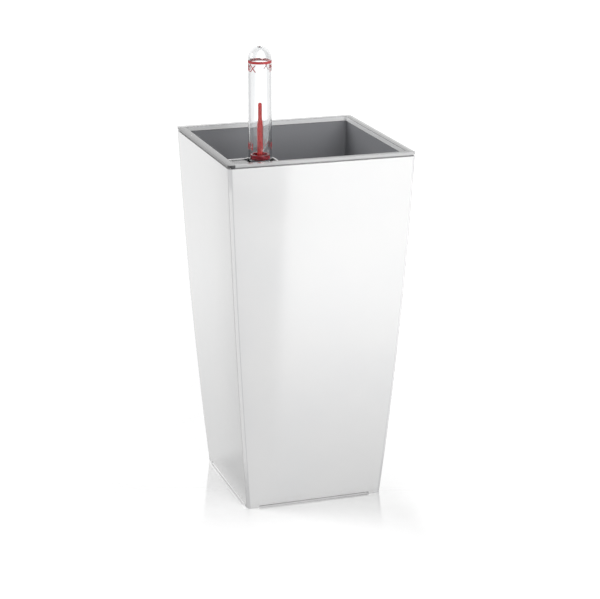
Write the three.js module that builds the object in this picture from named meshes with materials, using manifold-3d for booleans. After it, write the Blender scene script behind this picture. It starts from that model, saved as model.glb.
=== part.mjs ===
// Self-watering table planter: a tapered square outer planter, a planting liner hung from a rim frame,
// two wicks, and a float indicator that stands in the liner's corner well.
// Millimetres, +Z up, origin at the middle of the base on the surface that the planter stands on.

import * as THREE from "three";
import { mergeVertices } from "three/addons/utils/BufferGeometryUtils.js";
import Module from "manifold-3d";

const wasm = await Module();
wasm.setup();

// Outer planter
const HEIGHT = 262;
const TOP_WIDTH = 137.6;
const BOTTOM_WIDTH = 103.4;
const WALL_BULGE = 1.8;
const CORNER_RADIUS = 2.4;
const INNER_CORNER_RADIUS = 1.5;
const CAVITY_CORNER_RADIUS = 0.5;
const PLANTER_WALL = 2.2;
const PLANTER_FLOOR = 2.5;
const BASE_RECESS = 1.5;
const FOOT_LENGTH = 9;

// Rim frame: the part of it above the planter's wall, its inner lip and the skirt that locates it
const FRAME_HEIGHT = 2.5;
const SHADOW_GROOVE_HEIGHT = 0.8;
const SHADOW_GROOVE_DEPTH = 0.9;
const FRAME_SEAT_GAP = 0.3;
const RIM_WIDTH = 5.3;
const INNER_LIP_DEPTH = 3.3;
const SKIRT_DEPTH = 9;
const SKIRT_WALL = 1;
const SKIRT_CLEARANCE = 0.4;

// Corner ledge of the rim frame, with the hole that the indicator stands in
const LEDGE_RECESS = 4.7;
const LEDGE_THICKNESS = 1.6;
const LEDGE_BORDER_WIDTH = 1.2;
const LEDGE_BORDER_HEIGHT = 0.8;
const LEDGE_BEYOND_AXIS = 7;
const LEDGE_RING_WIDTH = 1.7;

// Planting liner
const LINER_WALL = 1.2;
const LINER_FLOOR = 2;
const LINER_FIT = 0.3;
const RESERVOIR_DEPTH = 80;
const DRAIN_HOLE_RADIUS = 2;
const DRAIN_PITCH = 14;
const DRAIN_FLOOR_MARGIN = 7;
const CATCH_WIDTH = 10;
const CATCH_HEIGHT = 1.4;
const CATCH_SPACING = 64;
const CATCH_BELOW_RIM = 6.6;
const RIB_WALL = 1.2;

// Wicks
const WICK_THICKNESS = 2.4;
const WICK_WIDTH = 16;
const WICK_SPREAD = 44;
const WICK_LEG_PITCH = 14;
const WICK_CLEARANCE = 0.3;
const WICK_FLOOR_GAP = 3;

// Float indicator
const SIGHT_RADIUS = 8.2;
const SIGHT_WALL = 1;
const SIGHT_ABOVE_RIM = 76;
const SIGHT_BELOW_LEDGE = 15;
const DOME_HEIGHT = 8.8;
const PIP_RADIUS = 1.4;
const PIP_LENGTH = 2.2;
const HOLE_CLEARANCE = 1.3;
const SHAFT_WALL = 1;
const SHAFT_FIT = 0.3;
const SHAFT_FLANGE = 1.3;
const SHAFT_FLANGE_HEIGHT = 1.5;
const WELL_CLEARANCE = 0.7;
const WELL_WALL_GAP = 0.9;
const WELL_FLOOR = 1.5;
const WELL_FLOOR_GAP = 0.6;
const AXIS_SIDE_OFFSET = 2.9;
const WATER_SLOT_WIDTH = 2.5;
const WATER_SLOT_MARGIN = 6;
const MIN_RING_HEIGHT = 3.4;
const MIN_RING_WALL = 1.8;
const MIN_MARK_ABOVE_RIM = 0.2;
const FOOT_CAP_THICKNESS = 1.6;
const FOOT_PLUG_HEIGHT = 3;
const GUIDE_HEIGHT = 3;
const GUIDE_BELOW_RING = 6;

// Float and rod, drawn at a reservoir a little over half full
const FLOAT_RISE = 36.2;
const FLOAT_LENGTH = 45;
const FLOAT_CLEARANCE = 0.6;
const ROD_RADIUS = 2;
const ROD_TIP_RADIUS = 1.35;
const ROD_TIP_LENGTH = 11.3;
const ROD_TAPER_LENGTH = 4.2;
const ROD_FIT = 0.3;
const ROD_IN_FLOAT = 30;

// Mesh fineness
const TAPER_STEPS = 12;
const CORNER_SEGMENTS = 5;
const ROUND_SEGMENTS = 32;
const HOLE_SEGMENTS = 10;

// Levels that several pieces share
const floorTop = BASE_RECESS + PLANTER_FLOOR;
const bodyTop = HEIGHT - FRAME_HEIGHT - FRAME_SEAT_GAP;
const ledgeTop = HEIGHT - LEDGE_RECESS;
const ledgeUnder = ledgeTop - LEDGE_THICKNESS;
const linerTop = HEIGHT - INNER_LIP_DEPTH - LINER_FIT;
const linerFloorUnder = floorTop + RESERVOIR_DEPTH;
const linerFloorTop = linerFloorUnder + LINER_FLOOR;
const minMark = HEIGHT + MIN_MARK_ABOVE_RIM;

// Insets from the planter's outer face
const skirtInset = PLANTER_WALL + SKIRT_CLEARANCE;
const linerInset = skirtInset + SKIRT_WALL + LINER_FIT;
const linerInnerInset = linerInset + LINER_WALL;

// The indicator's axis stands as far into the corner as the well allows at the reservoir's floor
const sightBore = SIGHT_RADIUS - SIGHT_WALL;
const shaftRadius = sightBore - SHAFT_FIT;
const shaftBore = shaftRadius - SHAFT_WALL;
const wellBore = shaftRadius + WELL_CLEARANCE;
const wellRadius = wellBore + LINER_WALL;
const ductBore = SIGHT_RADIUS + HOLE_CLEARANCE;
const ductRadius = ductBore + LINER_WALL;
const axisY = -(halfWidth(floorTop) - PLANTER_WALL - WELL_WALL_GAP - wellRadius);
const axisX = axisY + AXIS_SIDE_OFFSET;
const wellBottom = floorTop + WELL_FLOOR_GAP;
const footBottom = wellBottom + WELL_FLOOR + SHAFT_FIT;
const shaftBottom = footBottom + FOOT_CAP_THICKNESS + SHAFT_FIT;
const shaftTop = minMark - MIN_RING_HEIGHT - SHAFT_FIT;
const sightBottom = ledgeTop - SIGHT_BELOW_LEDGE;

const plastic = (color, roughness, extra = {}) =>
  new THREE.MeshStandardMaterial({ color, roughness, metalness: 0, ...extra });
const glossWhite = plastic(0xf4f4f3, 0.12);
const clearGrey = plastic(0xc4c5c6, 0.2, { transparent: true, opacity: 0.8 });
const darkGrey = plastic(0x4b4c4f, 0.45);
const felt = plastic(0xd9d6cc, 0.95);
const clear = plastic(0xf2f5f6, 0.05, { transparent: true, opacity: 0.3 });
const red = plastic(0xb8332c, 0.35);
const paleGrey = plastic(0xa9abad, 0.4);
const foam = plastic(0xf0efec, 0.85);

// Half the planter's outer width at a height: a straight taper with a slight outward belly
function halfWidth(z) {
  const down = 1 - z / HEIGHT;
  const straight = TOP_WIDTH / 2 - ((TOP_WIDTH - BOTTOM_WIDTH) / 2) * down;
  return straight + 4 * WALL_BULGE * down * (1 - down);
}

function solid(geometry) {
  const bare = geometry.clone();
  bare.deleteAttribute("normal");
  bare.deleteAttribute("uv");
  const merged = mergeVertices(bare, 1e-5);
  const vertProperties = new Float32Array(merged.attributes.position.array);
  const triVerts = new Uint32Array(merged.index.array);
  return new wasm.Manifold(new wasm.Mesh({ numProp: 3, vertProperties, triVerts }));
}

function namedMesh(name, shape, material) {
  const { vertProperties, triVerts } = shape.getMesh();
  const geometry = new THREE.BufferGeometry();
  geometry.setAttribute("position", new THREE.BufferAttribute(vertProperties, 3));
  geometry.setIndex(new THREE.BufferAttribute(triVerts, 1));
  geometry.computeVertexNormals();
  const mesh = new THREE.Mesh(geometry, material);
  mesh.name = name;
  return mesh;
}

function roundedSquare(half, radius) {
  const flat = half - radius;
  const outline = new THREE.Shape();
  outline.absarc(flat, flat, radius, 0, Math.PI / 2);
  outline.absarc(-flat, flat, radius, Math.PI / 2, Math.PI);
  outline.absarc(-flat, -flat, radius, Math.PI, 1.5 * Math.PI);
  outline.absarc(flat, -flat, radius, 1.5 * Math.PI, 2 * Math.PI);
  outline.closePath();
  return outline;
}

// A square block that follows the planter's tapered face, set in from it by the inset
function taperedBlock(inset, bottom, top, radius, steps = TAPER_STEPS) {
  const baseHalf = halfWidth(bottom) - inset;
  const geometry = new THREE.ExtrudeGeometry(roundedSquare(baseHalf, radius), {
    depth: top - bottom,
    steps,
    bevelEnabled: false,
    curveSegments: CORNER_SEGMENTS,
  });
  geometry.translate(0, 0, bottom);
  const position = geometry.attributes.position;
  for (let i = 0; i < position.count; i += 1) {
    const widen = halfWidth(position.getZ(i)) - inset - baseHalf;
    position.setX(i, position.getX(i) + Math.sign(position.getX(i)) * widen);
    position.setY(i, position.getY(i) + Math.sign(position.getY(i)) * widen);
  }
  return solid(geometry);
}

function block(low, high) {
  const size = high.map((value, i) => value - low[i]);
  const geometry = new THREE.BoxGeometry(...size);
  geometry.translate(low[0] + size[0] / 2, low[1] + size[1] / 2, low[2] + size[2] / 2);
  return solid(geometry);
}

function post(x, y, radius, bottom, top, segments = ROUND_SEGMENTS) {
  const geometry = new THREE.CylinderGeometry(radius, radius, top - bottom, segments);
  geometry.rotateX(Math.PI / 2);
  geometry.translate(x, y, (top + bottom) / 2);
  return solid(geometry);
}

// A turned piece on the indicator's axis, from [radius, height] points
function turned(points) {
  const profile = points.map(([radius, z]) => new THREE.Vector2(radius, z));
  const geometry = new THREE.LatheGeometry(profile, ROUND_SEGMENTS);
  geometry.rotateX(Math.PI / 2);
  geometry.translate(axisX, axisY, 0);
  return solid(geometry);
}

function arcPoints(radius, height, base, from, to, count) {
  return Array.from({ length: count + 1 }, (_, i) => {
    const angle = from + ((to - from) * i) / count;
    return [radius * Math.cos(angle), base + height * Math.sin(angle)];
  });
}

function makeOuterPlanter() {
  const outside = taperedBlock(0, 0, bodyTop, CORNER_RADIUS);
  const inside = taperedBlock(PLANTER_WALL, floorTop, bodyTop + 1, CAVITY_CORNER_RADIUS);
  const notch = BOTTOM_WIDTH / 2 - FOOT_LENGTH;
  const past = TOP_WIDTH;
  const notchAlongX = block([-past, -notch, -1], [past, notch, BASE_RECESS]);
  const notchAlongY = block([-notch, -past, -1], [notch, past, BASE_RECESS]);
  return outside.subtract(inside).subtract(notchAlongX).subtract(notchAlongY);
}

// The ledge's outline, set in by a margin: a strip along the front face with a round boss for the indicator
function ledgeShape(margin, bottom, top) {
  const far = TOP_WIDTH;
  const bossRadius = ductBore + LEDGE_RING_WIDTH - margin;
  const strip = block([-far, -far, bottom], [axisX, axisY + LEDGE_BEYOND_AXIS - margin, top]);
  const front = block([axisX - 1, -far, bottom], [axisX + bossRadius, axisY, top]);
  return strip.add(front).add(post(axisX, axisY, bossRadius, bottom, top));
}

function makeLedge() {
  const walled = taperedBlock(skirtInset, ledgeUnder, HEIGHT - FRAME_HEIGHT, INNER_CORNER_RADIUS, 2);
  const pocket = taperedBlock(RIM_WIDTH, ledgeTop, HEIGHT + 1, INNER_CORNER_RADIUS, 2);
  const borderTop = ledgeTop + LEDGE_BORDER_HEIGHT;
  const border = ledgeShape(0, ledgeTop - 0.5, borderTop).subtract(
    ledgeShape(LEDGE_BORDER_WIDTH, ledgeTop - 1, borderTop + 1)
  );
  const inner = taperedBlock(RIM_WIDTH - 0.5, ledgeUnder, borderTop, INNER_CORNER_RADIUS, 2);
  const hole = post(axisX, axisY, ductBore, ledgeUnder - 1, borderTop + 1);
  const plate = ledgeShape(0, ledgeUnder, HEIGHT - FRAME_HEIGHT).intersect(walled).subtract(pocket);
  return plate.add(border.intersect(inner)).subtract(hole);
}

// Boxes at each side's two catches, grown by a clearance, from inset to inset
function catchBoxes(outerInset, innerInset, clearance) {
  const z = HEIGHT - CATCH_BELOW_RIM;
  const outer = halfWidth(z) - outerInset;
  const inner = halfWidth(z) - innerInset;
  const boxes = [];
  for (const along of [-CATCH_SPACING / 2, CATCH_SPACING / 2]) {
    const start = along - CATCH_WIDTH / 2 - clearance;
    const end = along + CATCH_WIDTH / 2 + clearance;
    const low = z - CATCH_HEIGHT / 2 - clearance;
    const high = z + CATCH_HEIGHT / 2 + clearance;
    boxes.push(block([start, inner, low], [end, outer, high]));
    boxes.push(block([start, -outer, low], [end, -inner, high]));
    boxes.push(block([inner, start, low], [outer, end, high]));
    boxes.push(block([-outer, start, low], [-inner, end, high]));
  }
  return boxes.reduce((all, box) => all.add(box));
}

function makeLinerFrame() {
  const plateBottom = HEIGHT - FRAME_HEIGHT;
  const skirtBottom = HEIGHT - SKIRT_DEPTH;
  const grooveTop = plateBottom + SHADOW_GROOVE_HEIGHT;
  const rimPlate = taperedBlock(0, grooveTop, HEIGHT, CORNER_RADIUS, 1);
  const seat = taperedBlock(SHADOW_GROOVE_DEPTH, plateBottom, grooveTop + 0.5, INNER_CORNER_RADIUS, 1);
  const plate = rimPlate.add(seat);
  const skirt = taperedBlock(skirtInset, skirtBottom, plateBottom + 0.5, INNER_CORNER_RADIUS, 3);
  const opening = taperedBlock(RIM_WIDTH, skirtBottom - 1, HEIGHT + 1, INNER_CORNER_RADIUS, 3);
  const rebateTop = HEIGHT - INNER_LIP_DEPTH;
  const rebate = taperedBlock(skirtInset + SKIRT_WALL, skirtBottom - 1, rebateTop, INNER_CORNER_RADIUS, 3);
  const windows = catchBoxes(skirtInset - 1, skirtInset + SKIRT_WALL + 1, LINER_FIT);
  return plate.add(skirt).subtract(opening).subtract(rebate).subtract(windows).add(makeLedge());
}

// Catches on the liner's rim that click into the skirt's windows
function makeCatches() {
  return catchBoxes(skirtInset + 0.1, linerInset + LINER_WALL / 2, 0);
}

function wickSlots() {
  const halfSlot = WICK_THICKNESS / 2 + WICK_CLEARANCE;
  const halfWide = WICK_WIDTH / 2 + WICK_CLEARANCE;
  const slots = [];
  for (const x of [-WICK_SPREAD / 2, WICK_SPREAD / 2]) {
    for (const y of [-WICK_LEG_PITCH / 2, WICK_LEG_PITCH / 2]) {
      const low = [x - halfWide, y - halfSlot, linerFloorUnder - 1];
      slots.push(block(low, [x + halfWide, y + halfSlot, linerFloorTop + 1]));
    }
  }
  return slots.reduce((all, slot) => all.add(slot));
}

// Drain holes on a square grid, away from the walls, the wicks and the well
function drainHoles() {
  const reach = halfWidth(linerFloorUnder) - linerInnerInset - DRAIN_FLOOR_MARGIN;
  const wickReachY = WICK_LEG_PITCH / 2 + WICK_THICKNESS / 2 + 2 * DRAIN_HOLE_RADIUS;
  const ductKeepOut = ductRadius + 2 * DRAIN_HOLE_RADIUS;
  const holes = [];
  const count = Math.floor(reach / DRAIN_PITCH);
  for (let i = -count; i <= count; i += 1) {
    for (let j = -count; j <= count; j += 1) {
      const x = i * DRAIN_PITCH;
      const y = j * DRAIN_PITCH;
      const besideWick = Math.abs(y) < wickReachY;
      const besideDuct = Math.hypot(x - axisX, y - axisY) < ductKeepOut;
      if (!besideWick && !besideDuct) {
        holes.push(post(x, y, DRAIN_HOLE_RADIUS, linerFloorUnder - 1, linerFloorTop + 1, HOLE_SEGMENTS));
      }
    }
  }
  return holes.reduce((all, hole) => all.add(hole));
}

// The rib that ties the indicator's duct to the liner's corner
function cornerRib() {
  const length = 60;
  const height = ledgeUnder - LINER_FIT - linerFloorUnder;
  const geometry = new THREE.BoxGeometry(length, RIB_WALL, height);
  geometry.translate(-length / 2, 0, linerFloorUnder + height / 2);
  geometry.rotateZ(Math.PI / 4);
  geometry.translate(axisX, axisY, 0);
  return solid(geometry);
}

function wellSlots() {
  const half = WATER_SLOT_WIDTH / 2;
  const low = wellBottom + WATER_SLOT_MARGIN;
  const high = linerFloorUnder - WATER_SLOT_MARGIN;
  const reach = wellRadius + 1;
  const alongX = block([axisX - reach, axisY - half, low], [axisX + reach, axisY + half, high]);
  return alongX.add(block([axisX - half, axisY - reach, low], [axisX + half, axisY + reach, high]));
}

function makePlanterLiner() {
  const ductTop = ledgeUnder - LINER_FIT;
  const outside = taperedBlock(linerInset, linerFloorUnder, linerTop, INNER_CORNER_RADIUS);
  const inside = taperedBlock(linerInnerInset, linerFloorTop, linerTop + 1, INNER_CORNER_RADIUS);
  const duct = post(axisX, axisY, ductRadius, linerFloorUnder, ductTop);
  const well = post(axisX, axisY, wellRadius, wellBottom, linerFloorUnder + 0.5);
  const ductHole = post(axisX, axisY, ductBore, linerFloorTop, ductTop + 1);
  const wellHole = post(axisX, axisY, wellBore, wellBottom + WELL_FLOOR, ductTop);
  const ledgeRoom = ledgeShape(-LINER_FIT, ductTop, HEIGHT);
  const shell = outside.subtract(inside).add(duct).add(cornerRib().intersect(outside)).add(well);
  const bored = shell.subtract(ductHole).subtract(wellHole).subtract(wellSlots());
  return bored.subtract(wickSlots()).subtract(drainHoles()).add(makeCatches()).subtract(ledgeRoom);
}

// A felt strip over the bar between two slots, with a leg hanging through each into the reservoir
function makeWick(x) {
  const outerY = WICK_LEG_PITCH / 2 + WICK_THICKNESS / 2;
  const innerY = WICK_LEG_PITCH / 2 - WICK_THICKNESS / 2;
  const bottom = floorTop + WICK_FLOOR_GAP;
  const under = linerFloorTop + WICK_CLEARANCE;
  const bend = WICK_THICKNESS;
  const shoulder = under + WICK_THICKNESS - bend;
  const outline = new THREE.Shape();
  outline.moveTo(-outerY, bottom);
  outline.lineTo(-innerY, bottom);
  outline.lineTo(-innerY, under);
  outline.lineTo(innerY, under);
  outline.lineTo(innerY, bottom);
  outline.lineTo(outerY, bottom);
  outline.lineTo(outerY, shoulder);
  outline.absarc(outerY - bend, shoulder, bend, 0, Math.PI / 2);
  outline.absarc(bend - outerY, shoulder, bend, Math.PI / 2, Math.PI);
  outline.closePath();
  const geometry = new THREE.ExtrudeGeometry(outline, {
    depth: WICK_WIDTH,
    bevelEnabled: false,
    curveSegments: CORNER_SEGMENTS,
  });
  geometry.rotateX(Math.PI / 2);
  geometry.rotateZ(Math.PI / 2);
  geometry.translate(x - WICK_WIDTH / 2, 0, 0);
  return solid(geometry);
}

function makeSightTube() {
  const top = HEIGHT + SIGHT_ABOVE_RIM;
  const spring = top - DOME_HEIGHT;
  const innerRise = DOME_HEIGHT - SIGHT_WALL;
  const apex = spring + innerRise;
  const quarter = Math.PI / 2;
  return turned([
    [0, apex - PIP_LENGTH],
    [PIP_RADIUS * 0.4, apex - PIP_LENGTH],
    [PIP_RADIUS, apex - 0.3],
    ...arcPoints(sightBore, innerRise, spring, 0.42 * Math.PI, 0, 7),
    [sightBore, sightBottom],
    [SIGHT_RADIUS, sightBottom],
    ...arcPoints(SIGHT_RADIUS, DOME_HEIGHT, spring, 0, quarter, 9).slice(0, -1),
    [0, top],
  ]);
}

function makeMinRing() {
  const low = minMark - MIN_RING_HEIGHT;
  const outer = shaftRadius;
  const inner = outer - MIN_RING_WALL;
  const edge = 0.4;
  return turned([
    [inner, low],
    [outer - edge, low],
    [outer, low + edge],
    [outer, minMark - edge],
    [outer - edge, minMark],
    [inner + edge, minMark],
    [inner, minMark - edge],
    [inner, low],
  ]);
}

function makeIndicatorShaft() {
  const flangeTop = sightBottom - SHAFT_FIT;
  const flangeBottom = flangeTop - SHAFT_FLANGE_HEIGHT;
  const tube = turned([
    [shaftBore, shaftBottom],
    [shaftRadius, shaftBottom],
    [shaftRadius, flangeBottom],
    [shaftRadius + SHAFT_FLANGE, flangeBottom],
    [shaftRadius + SHAFT_FLANGE, flangeTop],
    [shaftRadius, flangeTop],
    [shaftRadius, shaftTop],
    [shaftBore, shaftTop],
    [shaftBore, shaftBottom],
  ]);
  return tube.subtract(wellSlots());
}

function makeRodGuide() {
  const top = shaftTop - GUIDE_BELOW_RING;
  const outer = shaftBore - SHAFT_FIT;
  const inner = ROD_RADIUS + ROD_FIT;
  return turned([
    [inner, top - GUIDE_HEIGHT],
    [outer, top - GUIDE_HEIGHT],
    [outer, top],
    [inner + 0.6, top],
    [inner, top - 0.6],
    [inner, top - GUIDE_HEIGHT],
  ]);
}

const footTop = shaftBottom + FOOT_PLUG_HEIGHT;

function makeIndicatorFoot() {
  const shoulder = footBottom + FOOT_CAP_THICKNESS;
  const plug = shaftBore - SHAFT_FIT;
  return turned([
    [0, footBottom],
    [shaftRadius - 0.5, footBottom],
    [shaftRadius, footBottom + 0.5],
    [shaftRadius, shoulder],
    [plug, shoulder],
    [plug, footTop],
    [0, footTop],
  ]);
}

const floatBottom = footTop + SHAFT_FIT + FLOAT_RISE;
const floatTop = floatBottom + FLOAT_LENGTH;

function makeFloatBody() {
  const radius = shaftBore - FLOAT_CLEARANCE;
  const bore = ROD_RADIUS + ROD_FIT;
  const edge = 1.2;
  const boreBottom = floatTop - ROD_IN_FLOAT - ROD_FIT;
  return turned([
    [0, floatBottom],
    [radius - edge, floatBottom],
    [radius, floatBottom + edge],
    [radius, floatTop - edge],
    [radius - edge, floatTop],
    [bore, floatTop],
    [bore, boreBottom],
    [0, boreBottom],
  ]);
}

function makeFloatRod() {
  const top = minMark + FLOAT_RISE;
  const taperTop = top - ROD_TIP_LENGTH;
  const bottom = floatTop - ROD_IN_FLOAT;
  const round = ROD_TIP_RADIUS * 0.6;
  return turned([
    [0, bottom],
    [ROD_RADIUS, bottom],
    [ROD_RADIUS, taperTop - ROD_TAPER_LENGTH],
    [ROD_TIP_RADIUS, taperTop],
    [ROD_TIP_RADIUS, top - round],
    [ROD_TIP_RADIUS * 0.8, top - round * 0.4],
    [ROD_TIP_RADIUS * 0.4, top],
    [0, top],
  ]);
}

const planter = new THREE.Group();
planter.add(
  namedMesh("outer_planter", makeOuterPlanter(), glossWhite),
  namedMesh("liner_frame", makeLinerFrame(), clearGrey),
  namedMesh("planter_liner", makePlanterLiner(), darkGrey),
  namedMesh("wick_left", makeWick(-WICK_SPREAD / 2), felt),
  namedMesh("wick_right", makeWick(WICK_SPREAD / 2), felt),
  namedMesh("sight_tube", makeSightTube(), clear),
  namedMesh("min_ring", makeMinRing(), red),
  namedMesh("indicator_shaft", makeIndicatorShaft(), darkGrey),
  namedMesh("rod_guide", makeRodGuide(), paleGrey),
  namedMesh("indicator_foot", makeIndicatorFoot(), paleGrey),
  namedMesh("float_body", makeFloatBody(), foam),
  namedMesh("float_rod", makeFloatRod(), red)
);

export default planter;
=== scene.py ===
"""Looks of a self-watering table planter: gloss shell, translucent rim frame, planting liner,
felt wicks and float indicator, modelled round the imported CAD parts.
Metres, +Z up, standing on the floor at the origin."""

import math
from itertools import pairwise, product

import bmesh
import bpy
from mathutils import Matrix, Vector


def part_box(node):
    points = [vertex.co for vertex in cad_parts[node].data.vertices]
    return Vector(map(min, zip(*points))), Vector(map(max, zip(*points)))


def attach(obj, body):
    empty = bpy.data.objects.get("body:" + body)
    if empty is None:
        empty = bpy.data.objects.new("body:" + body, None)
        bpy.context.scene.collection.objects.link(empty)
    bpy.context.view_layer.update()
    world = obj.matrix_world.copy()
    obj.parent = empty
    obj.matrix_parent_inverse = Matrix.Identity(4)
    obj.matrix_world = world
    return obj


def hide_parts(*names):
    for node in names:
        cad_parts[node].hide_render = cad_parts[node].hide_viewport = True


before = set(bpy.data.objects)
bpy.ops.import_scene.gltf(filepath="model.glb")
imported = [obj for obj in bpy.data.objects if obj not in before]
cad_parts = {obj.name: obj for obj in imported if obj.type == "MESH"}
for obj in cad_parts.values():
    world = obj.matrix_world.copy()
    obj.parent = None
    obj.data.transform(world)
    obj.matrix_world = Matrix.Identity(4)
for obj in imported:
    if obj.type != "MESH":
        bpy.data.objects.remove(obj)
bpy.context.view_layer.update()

MM = 0.001

# Levels and places taken from the CAD parts
SHELL_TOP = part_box("outer_planter")[1].z
RIM_LOW, RIM_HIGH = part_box("liner_frame")
LINER_LOW, LINER_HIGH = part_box("planter_liner")
TUBE_LOW, TUBE_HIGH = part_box("sight_tube")
RING_LOW, RING_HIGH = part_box("min_ring")
SHAFT_LOW, SHAFT_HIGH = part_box("indicator_shaft")
GUIDE_LOW, GUIDE_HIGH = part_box("rod_guide")
FOOT_LOW, FOOT_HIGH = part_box("indicator_foot")
FLOAT_LOW, FLOAT_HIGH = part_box("float_body")
ROD_LOW, ROD_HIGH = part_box("float_rod")
HEIGHT = RIM_HIGH.z
TOP_HALF = RIM_HIGH.x
AXIS = (TUBE_LOW + TUBE_HIGH).xy / 2

# Outer planter
FOOT_HALF = 51.7 * MM
BELLY = 1.8 * MM
CORNER_RADIUS = 2.4 * MM
SHELL_WALL = 2.2 * MM
SHELL_FLOOR = 2.5 * MM
BASE_RECESS = 1.5 * MM
FOOT_LENGTH = 9 * MM
WALL_LEVELS = 16
CORNER_SEGMENTS = 6

# Rim frame
PLATE_THICKNESS = 2.5 * MM
GROOVE_HEIGHT = 0.8 * MM
GROOVE_DEPTH = 0.9 * MM
RIM_WIDTH = 5.3 * MM
LIP_DEPTH = 3.3 * MM
SKIRT_INSET = 2.6 * MM
SKIRT_WALL = 1 * MM
LEDGE_RECESS = 4.7 * MM
LEDGE_THICKNESS = 1.6 * MM
LEDGE_BORDER_WIDTH = 1.2 * MM
LEDGE_BORDER_HEIGHT = 0.8 * MM
LEDGE_BEYOND_AXIS = 7 * MM
LEDGE_RING_WIDTH = 1.7 * MM
DUCT_BORE = 9.5 * MM

# Planting liner
LINER_INSET = 3.9 * MM
LINER_WALL = 1.2 * MM
LINER_FLOOR = 2 * MM
LINER_FIT = 0.3 * MM
RESERVOIR_DEPTH = 80 * MM
WELL_FLOOR = 1.5 * MM
WATER_SLOT_WIDTH = 2.5 * MM
WATER_SLOT_MARGIN = 6 * MM
DRAIN_RADIUS = 2 * MM
DRAIN_PITCH = 14 * MM
DRAIN_ROWS = 3
WELL_BORE = 7.6 * MM
CATCH_WIDTH = 10 * MM
CATCH_HEIGHT = 1.4 * MM
CATCH_SPACING = 64 * MM
CATCH_BELOW_RIM = 6.6 * MM
WICK_THICKNESS = 2.4 * MM
FELT_THICKNESS = 2.2 * MM
FELT_BEND = 1.4 * MM

FLOOR_TOP = BASE_RECESS + SHELL_FLOOR
LINER_UNDER = FLOOR_TOP + RESERVOIR_DEPTH
LINER_FLOOR_TOP = LINER_UNDER + LINER_FLOOR
LEDGE_TOP = HEIGHT - LEDGE_RECESS
LEDGE_UNDER = LEDGE_TOP - LEDGE_THICKNESS

# Indicator: the pip starts PIP_ANGLE degrees up the dome, and the words' capitals take
# CAPITAL_SHARE of the font's size; the turns are the words' bearings from the front, in degrees
SIGHT_WALL = 1 * MM
SIGHT_RADIUS = (TUBE_HIGH.x - TUBE_LOW.x) / 2
DOME_HEIGHT = 8.8 * MM
PIP_RADIUS = 1.4 * MM
PIP_LENGTH = 2.2 * MM
PIP_ANGLE = 76
MAX_MARK_BELOW_TOP = 10.7 * MM
BAND_HEIGHT = 1.76 * MM
BAND_RELIEF = 0.05 * MM
WORD_HEIGHT = 5 * MM
CAPITAL_SHARE = 0.7
WORD_THICKNESS = 0.08 * MM
MAX_WORD_BELOW_LINE = 4.4 * MM
MIN_WORD_ABOVE_RING = 5.8 * MM
MAX_WORD_TURNS = (-90, 90)
MIN_WORD_TURNS = (-97, 97)
ROD_TIP_RADIUS = 1.35 * MM
ROD_TIP_LENGTH = 11.3 * MM
ROD_TAPER = 4.2 * MM
ROD_PLAY = 0.3 * MM

# Mesh work: what counts as level with a plane, as one point, and as a sliver
LEVEL = 0.01 * MM
SAME_POINT = 0.002 * MM
SAME_LETTER_POINT = 0.001 * MM
SLIVER = 0.02 * MM
BEVEL_SEGMENTS = 2
SHARP_EDGE = math.radians(35)

# Studio: VIEW_X and VIEW_Y are the camera's line of sight as seen from above
VIEW_X = 0.317
VIEW_Y = 0.948
CAMERA_PLACE = (-0.42745, -1.29525, 0.56048)
CAMERA_YAW = math.radians(18.492)
CAMERA_PITCH = math.radians(17.124)
CAMERA_ROLL = math.radians(-0.113)
FOCAL_LENGTH = 115.38
SENSOR_WIDTH = 36
FLOOR_SIZE = 24
ROOM_LIGHT = 0.38
BACKDROP_LIGHT = 1.0
LAMP_AIM = (0, 0, 0.2)

# Studio floor: how bright the gloss finds it, and how far each stretch lightens or darkens it
SHEEN = 0.62
SHEEN_FAR_GAIN = 0.28
CARD_GLOW = 2.3
SECTOR_LOSS = 0.7
LANE_LOSS = 0.85
CONTACT_LOSS = 0.22
NEAR_END_LOSS = 0.42

# Studio floor: how bright it is as the backdrop, and how strongly it mirrors the planter
BACKDROP = 0.47
BACKDROP_FAR_GAIN = 0.27
BACKDROP_RIGHT_GAIN = 0.2
BACKDROP_NEAR_LOSS = 0.22
GAP_GAIN = 0.2
TUBE_EDGE_LOSS = 0.3
TUBE_RIGHT_EDGE_LOSS = 0.12
MIRROR_SHARE = 0.85
MIRROR_GAP_LOSS = 0.4
MIRROR_ROUGHNESS = 0.08


def wall_half(z):
    """Half the planter's outer width at a height: a straight taper with a slight outward belly."""
    down = 1 - z / HEIGHT
    return TOP_HALF - (TOP_HALF - FOOT_HALF) * down + 4 * BELLY * down * (1 - down)


def levels(start, end, count=WALL_LEVELS):
    """Evenly spaced values from start to end, both included."""
    return [start + (end - start) * step / count for step in range(count + 1)]


# ---------------------------------------------------------------- modelling by hand


def edit_new(name):
    """Names the primitive just added, puts its place in its mesh and opens it, all selected."""
    piece = bpy.context.object
    piece.name = name
    bpy.ops.object.transform_apply(location=True, rotation=True, scale=True)
    bpy.ops.object.mode_set(mode="EDIT")
    bpy.ops.mesh.select_mode(type="VERT")
    bpy.ops.mesh.select_all(action="SELECT")
    return piece


def close_edit():
    """Leaves edit mode."""
    bpy.ops.object.mode_set(mode="OBJECT")


def pick(kind, test):
    """In edit mode, selects only the vertices or faces that pass the test."""
    bpy.ops.mesh.select_mode(type=kind)
    bpy.ops.mesh.select_all(action="DESELECT")
    mesh = bpy.context.object.data
    shape = bmesh.from_edit_mesh(mesh)
    for part in shape.verts if kind == "VERT" else shape.faces:
        if test(part):
            part.select_set(True)
    shape.select_flush_mode()
    bmesh.update_edit_mesh(mesh)


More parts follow.
